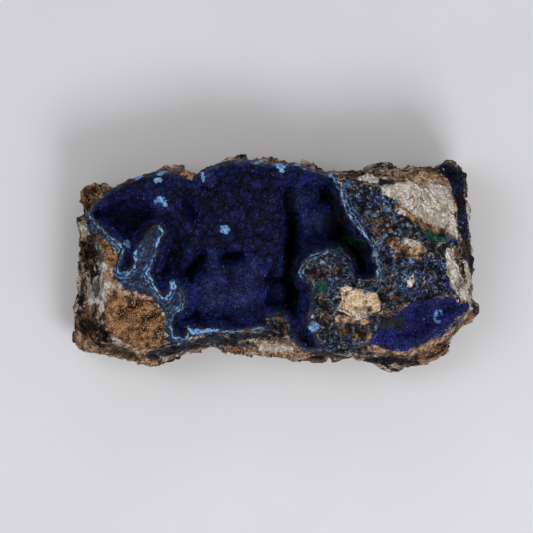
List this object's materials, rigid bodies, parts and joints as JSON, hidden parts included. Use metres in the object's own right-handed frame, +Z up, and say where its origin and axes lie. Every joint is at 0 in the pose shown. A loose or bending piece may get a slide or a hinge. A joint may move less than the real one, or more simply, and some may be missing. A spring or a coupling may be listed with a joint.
{
  "type": "azurite mineral specimen",
  "caption": "Rough oblong block of iron-stained rock with an open vug lined with botryoidal azurite, resting on its flat underside.",
  "frame": {"origin": "centre of the flat underside, on the surface that the specimen rests on", "axes": "+X along the length towards the end with the seam, +Y across the width, +Z up out of the open vug"},
  "size_m": [0.0959, 0.0503, 0.0311],
  "materials": {
    "host_rock": "rough, granular, iron-stained",
    "azurite": "velvety druse of very small crystals",
    "bright_azurite": "granular crystalline crust"
  },
  "bodies": {
    "root": {"host_rock": "host_rock", "azurite_vug_lining": "azurite", "azurite_pocket_crust": "bright_azurite", "azurite_end_seam": "azurite"}
  },
  "joints": []
}
